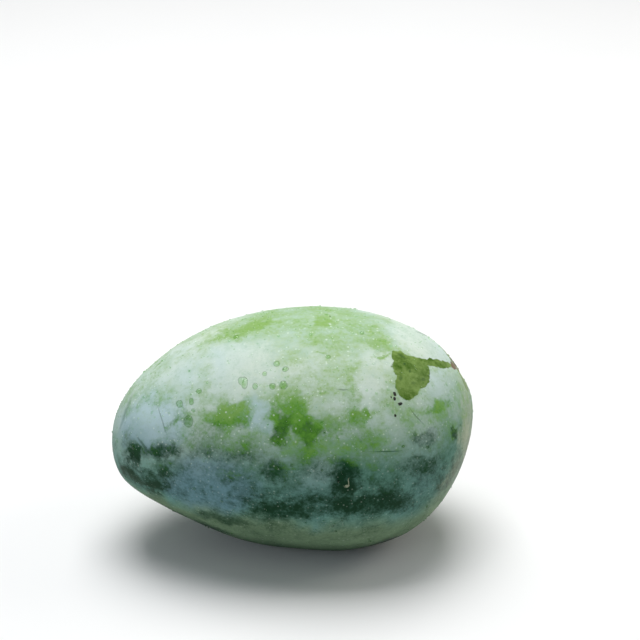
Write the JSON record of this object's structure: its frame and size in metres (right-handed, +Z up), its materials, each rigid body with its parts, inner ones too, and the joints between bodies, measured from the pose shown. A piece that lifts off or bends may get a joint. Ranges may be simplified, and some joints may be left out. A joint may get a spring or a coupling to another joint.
{
  "type": "mango",
  "caption": "Large green mango with a waxy bloom, lying on its side on a small flat spot, with its stem scar in a shallow basin.",
  "frame": {"origin": "on the ground, under the middle of the fruit's box", "axes": "+X along the fruit's length, from its tip towards its stem end; +Z up; -Y towards the upper cheek's low side, which faces the picture's camera"},
  "size_m": [0.1472, 0.0984, 0.0957],
  "materials": {
    "green_skin": "waxy fruit skin with a pale bloom, satin where the bloom is rubbed off"
  },
  "bodies": {
    "root": {"mango_fruit": "green_skin"}
  },
  "joints": []
}
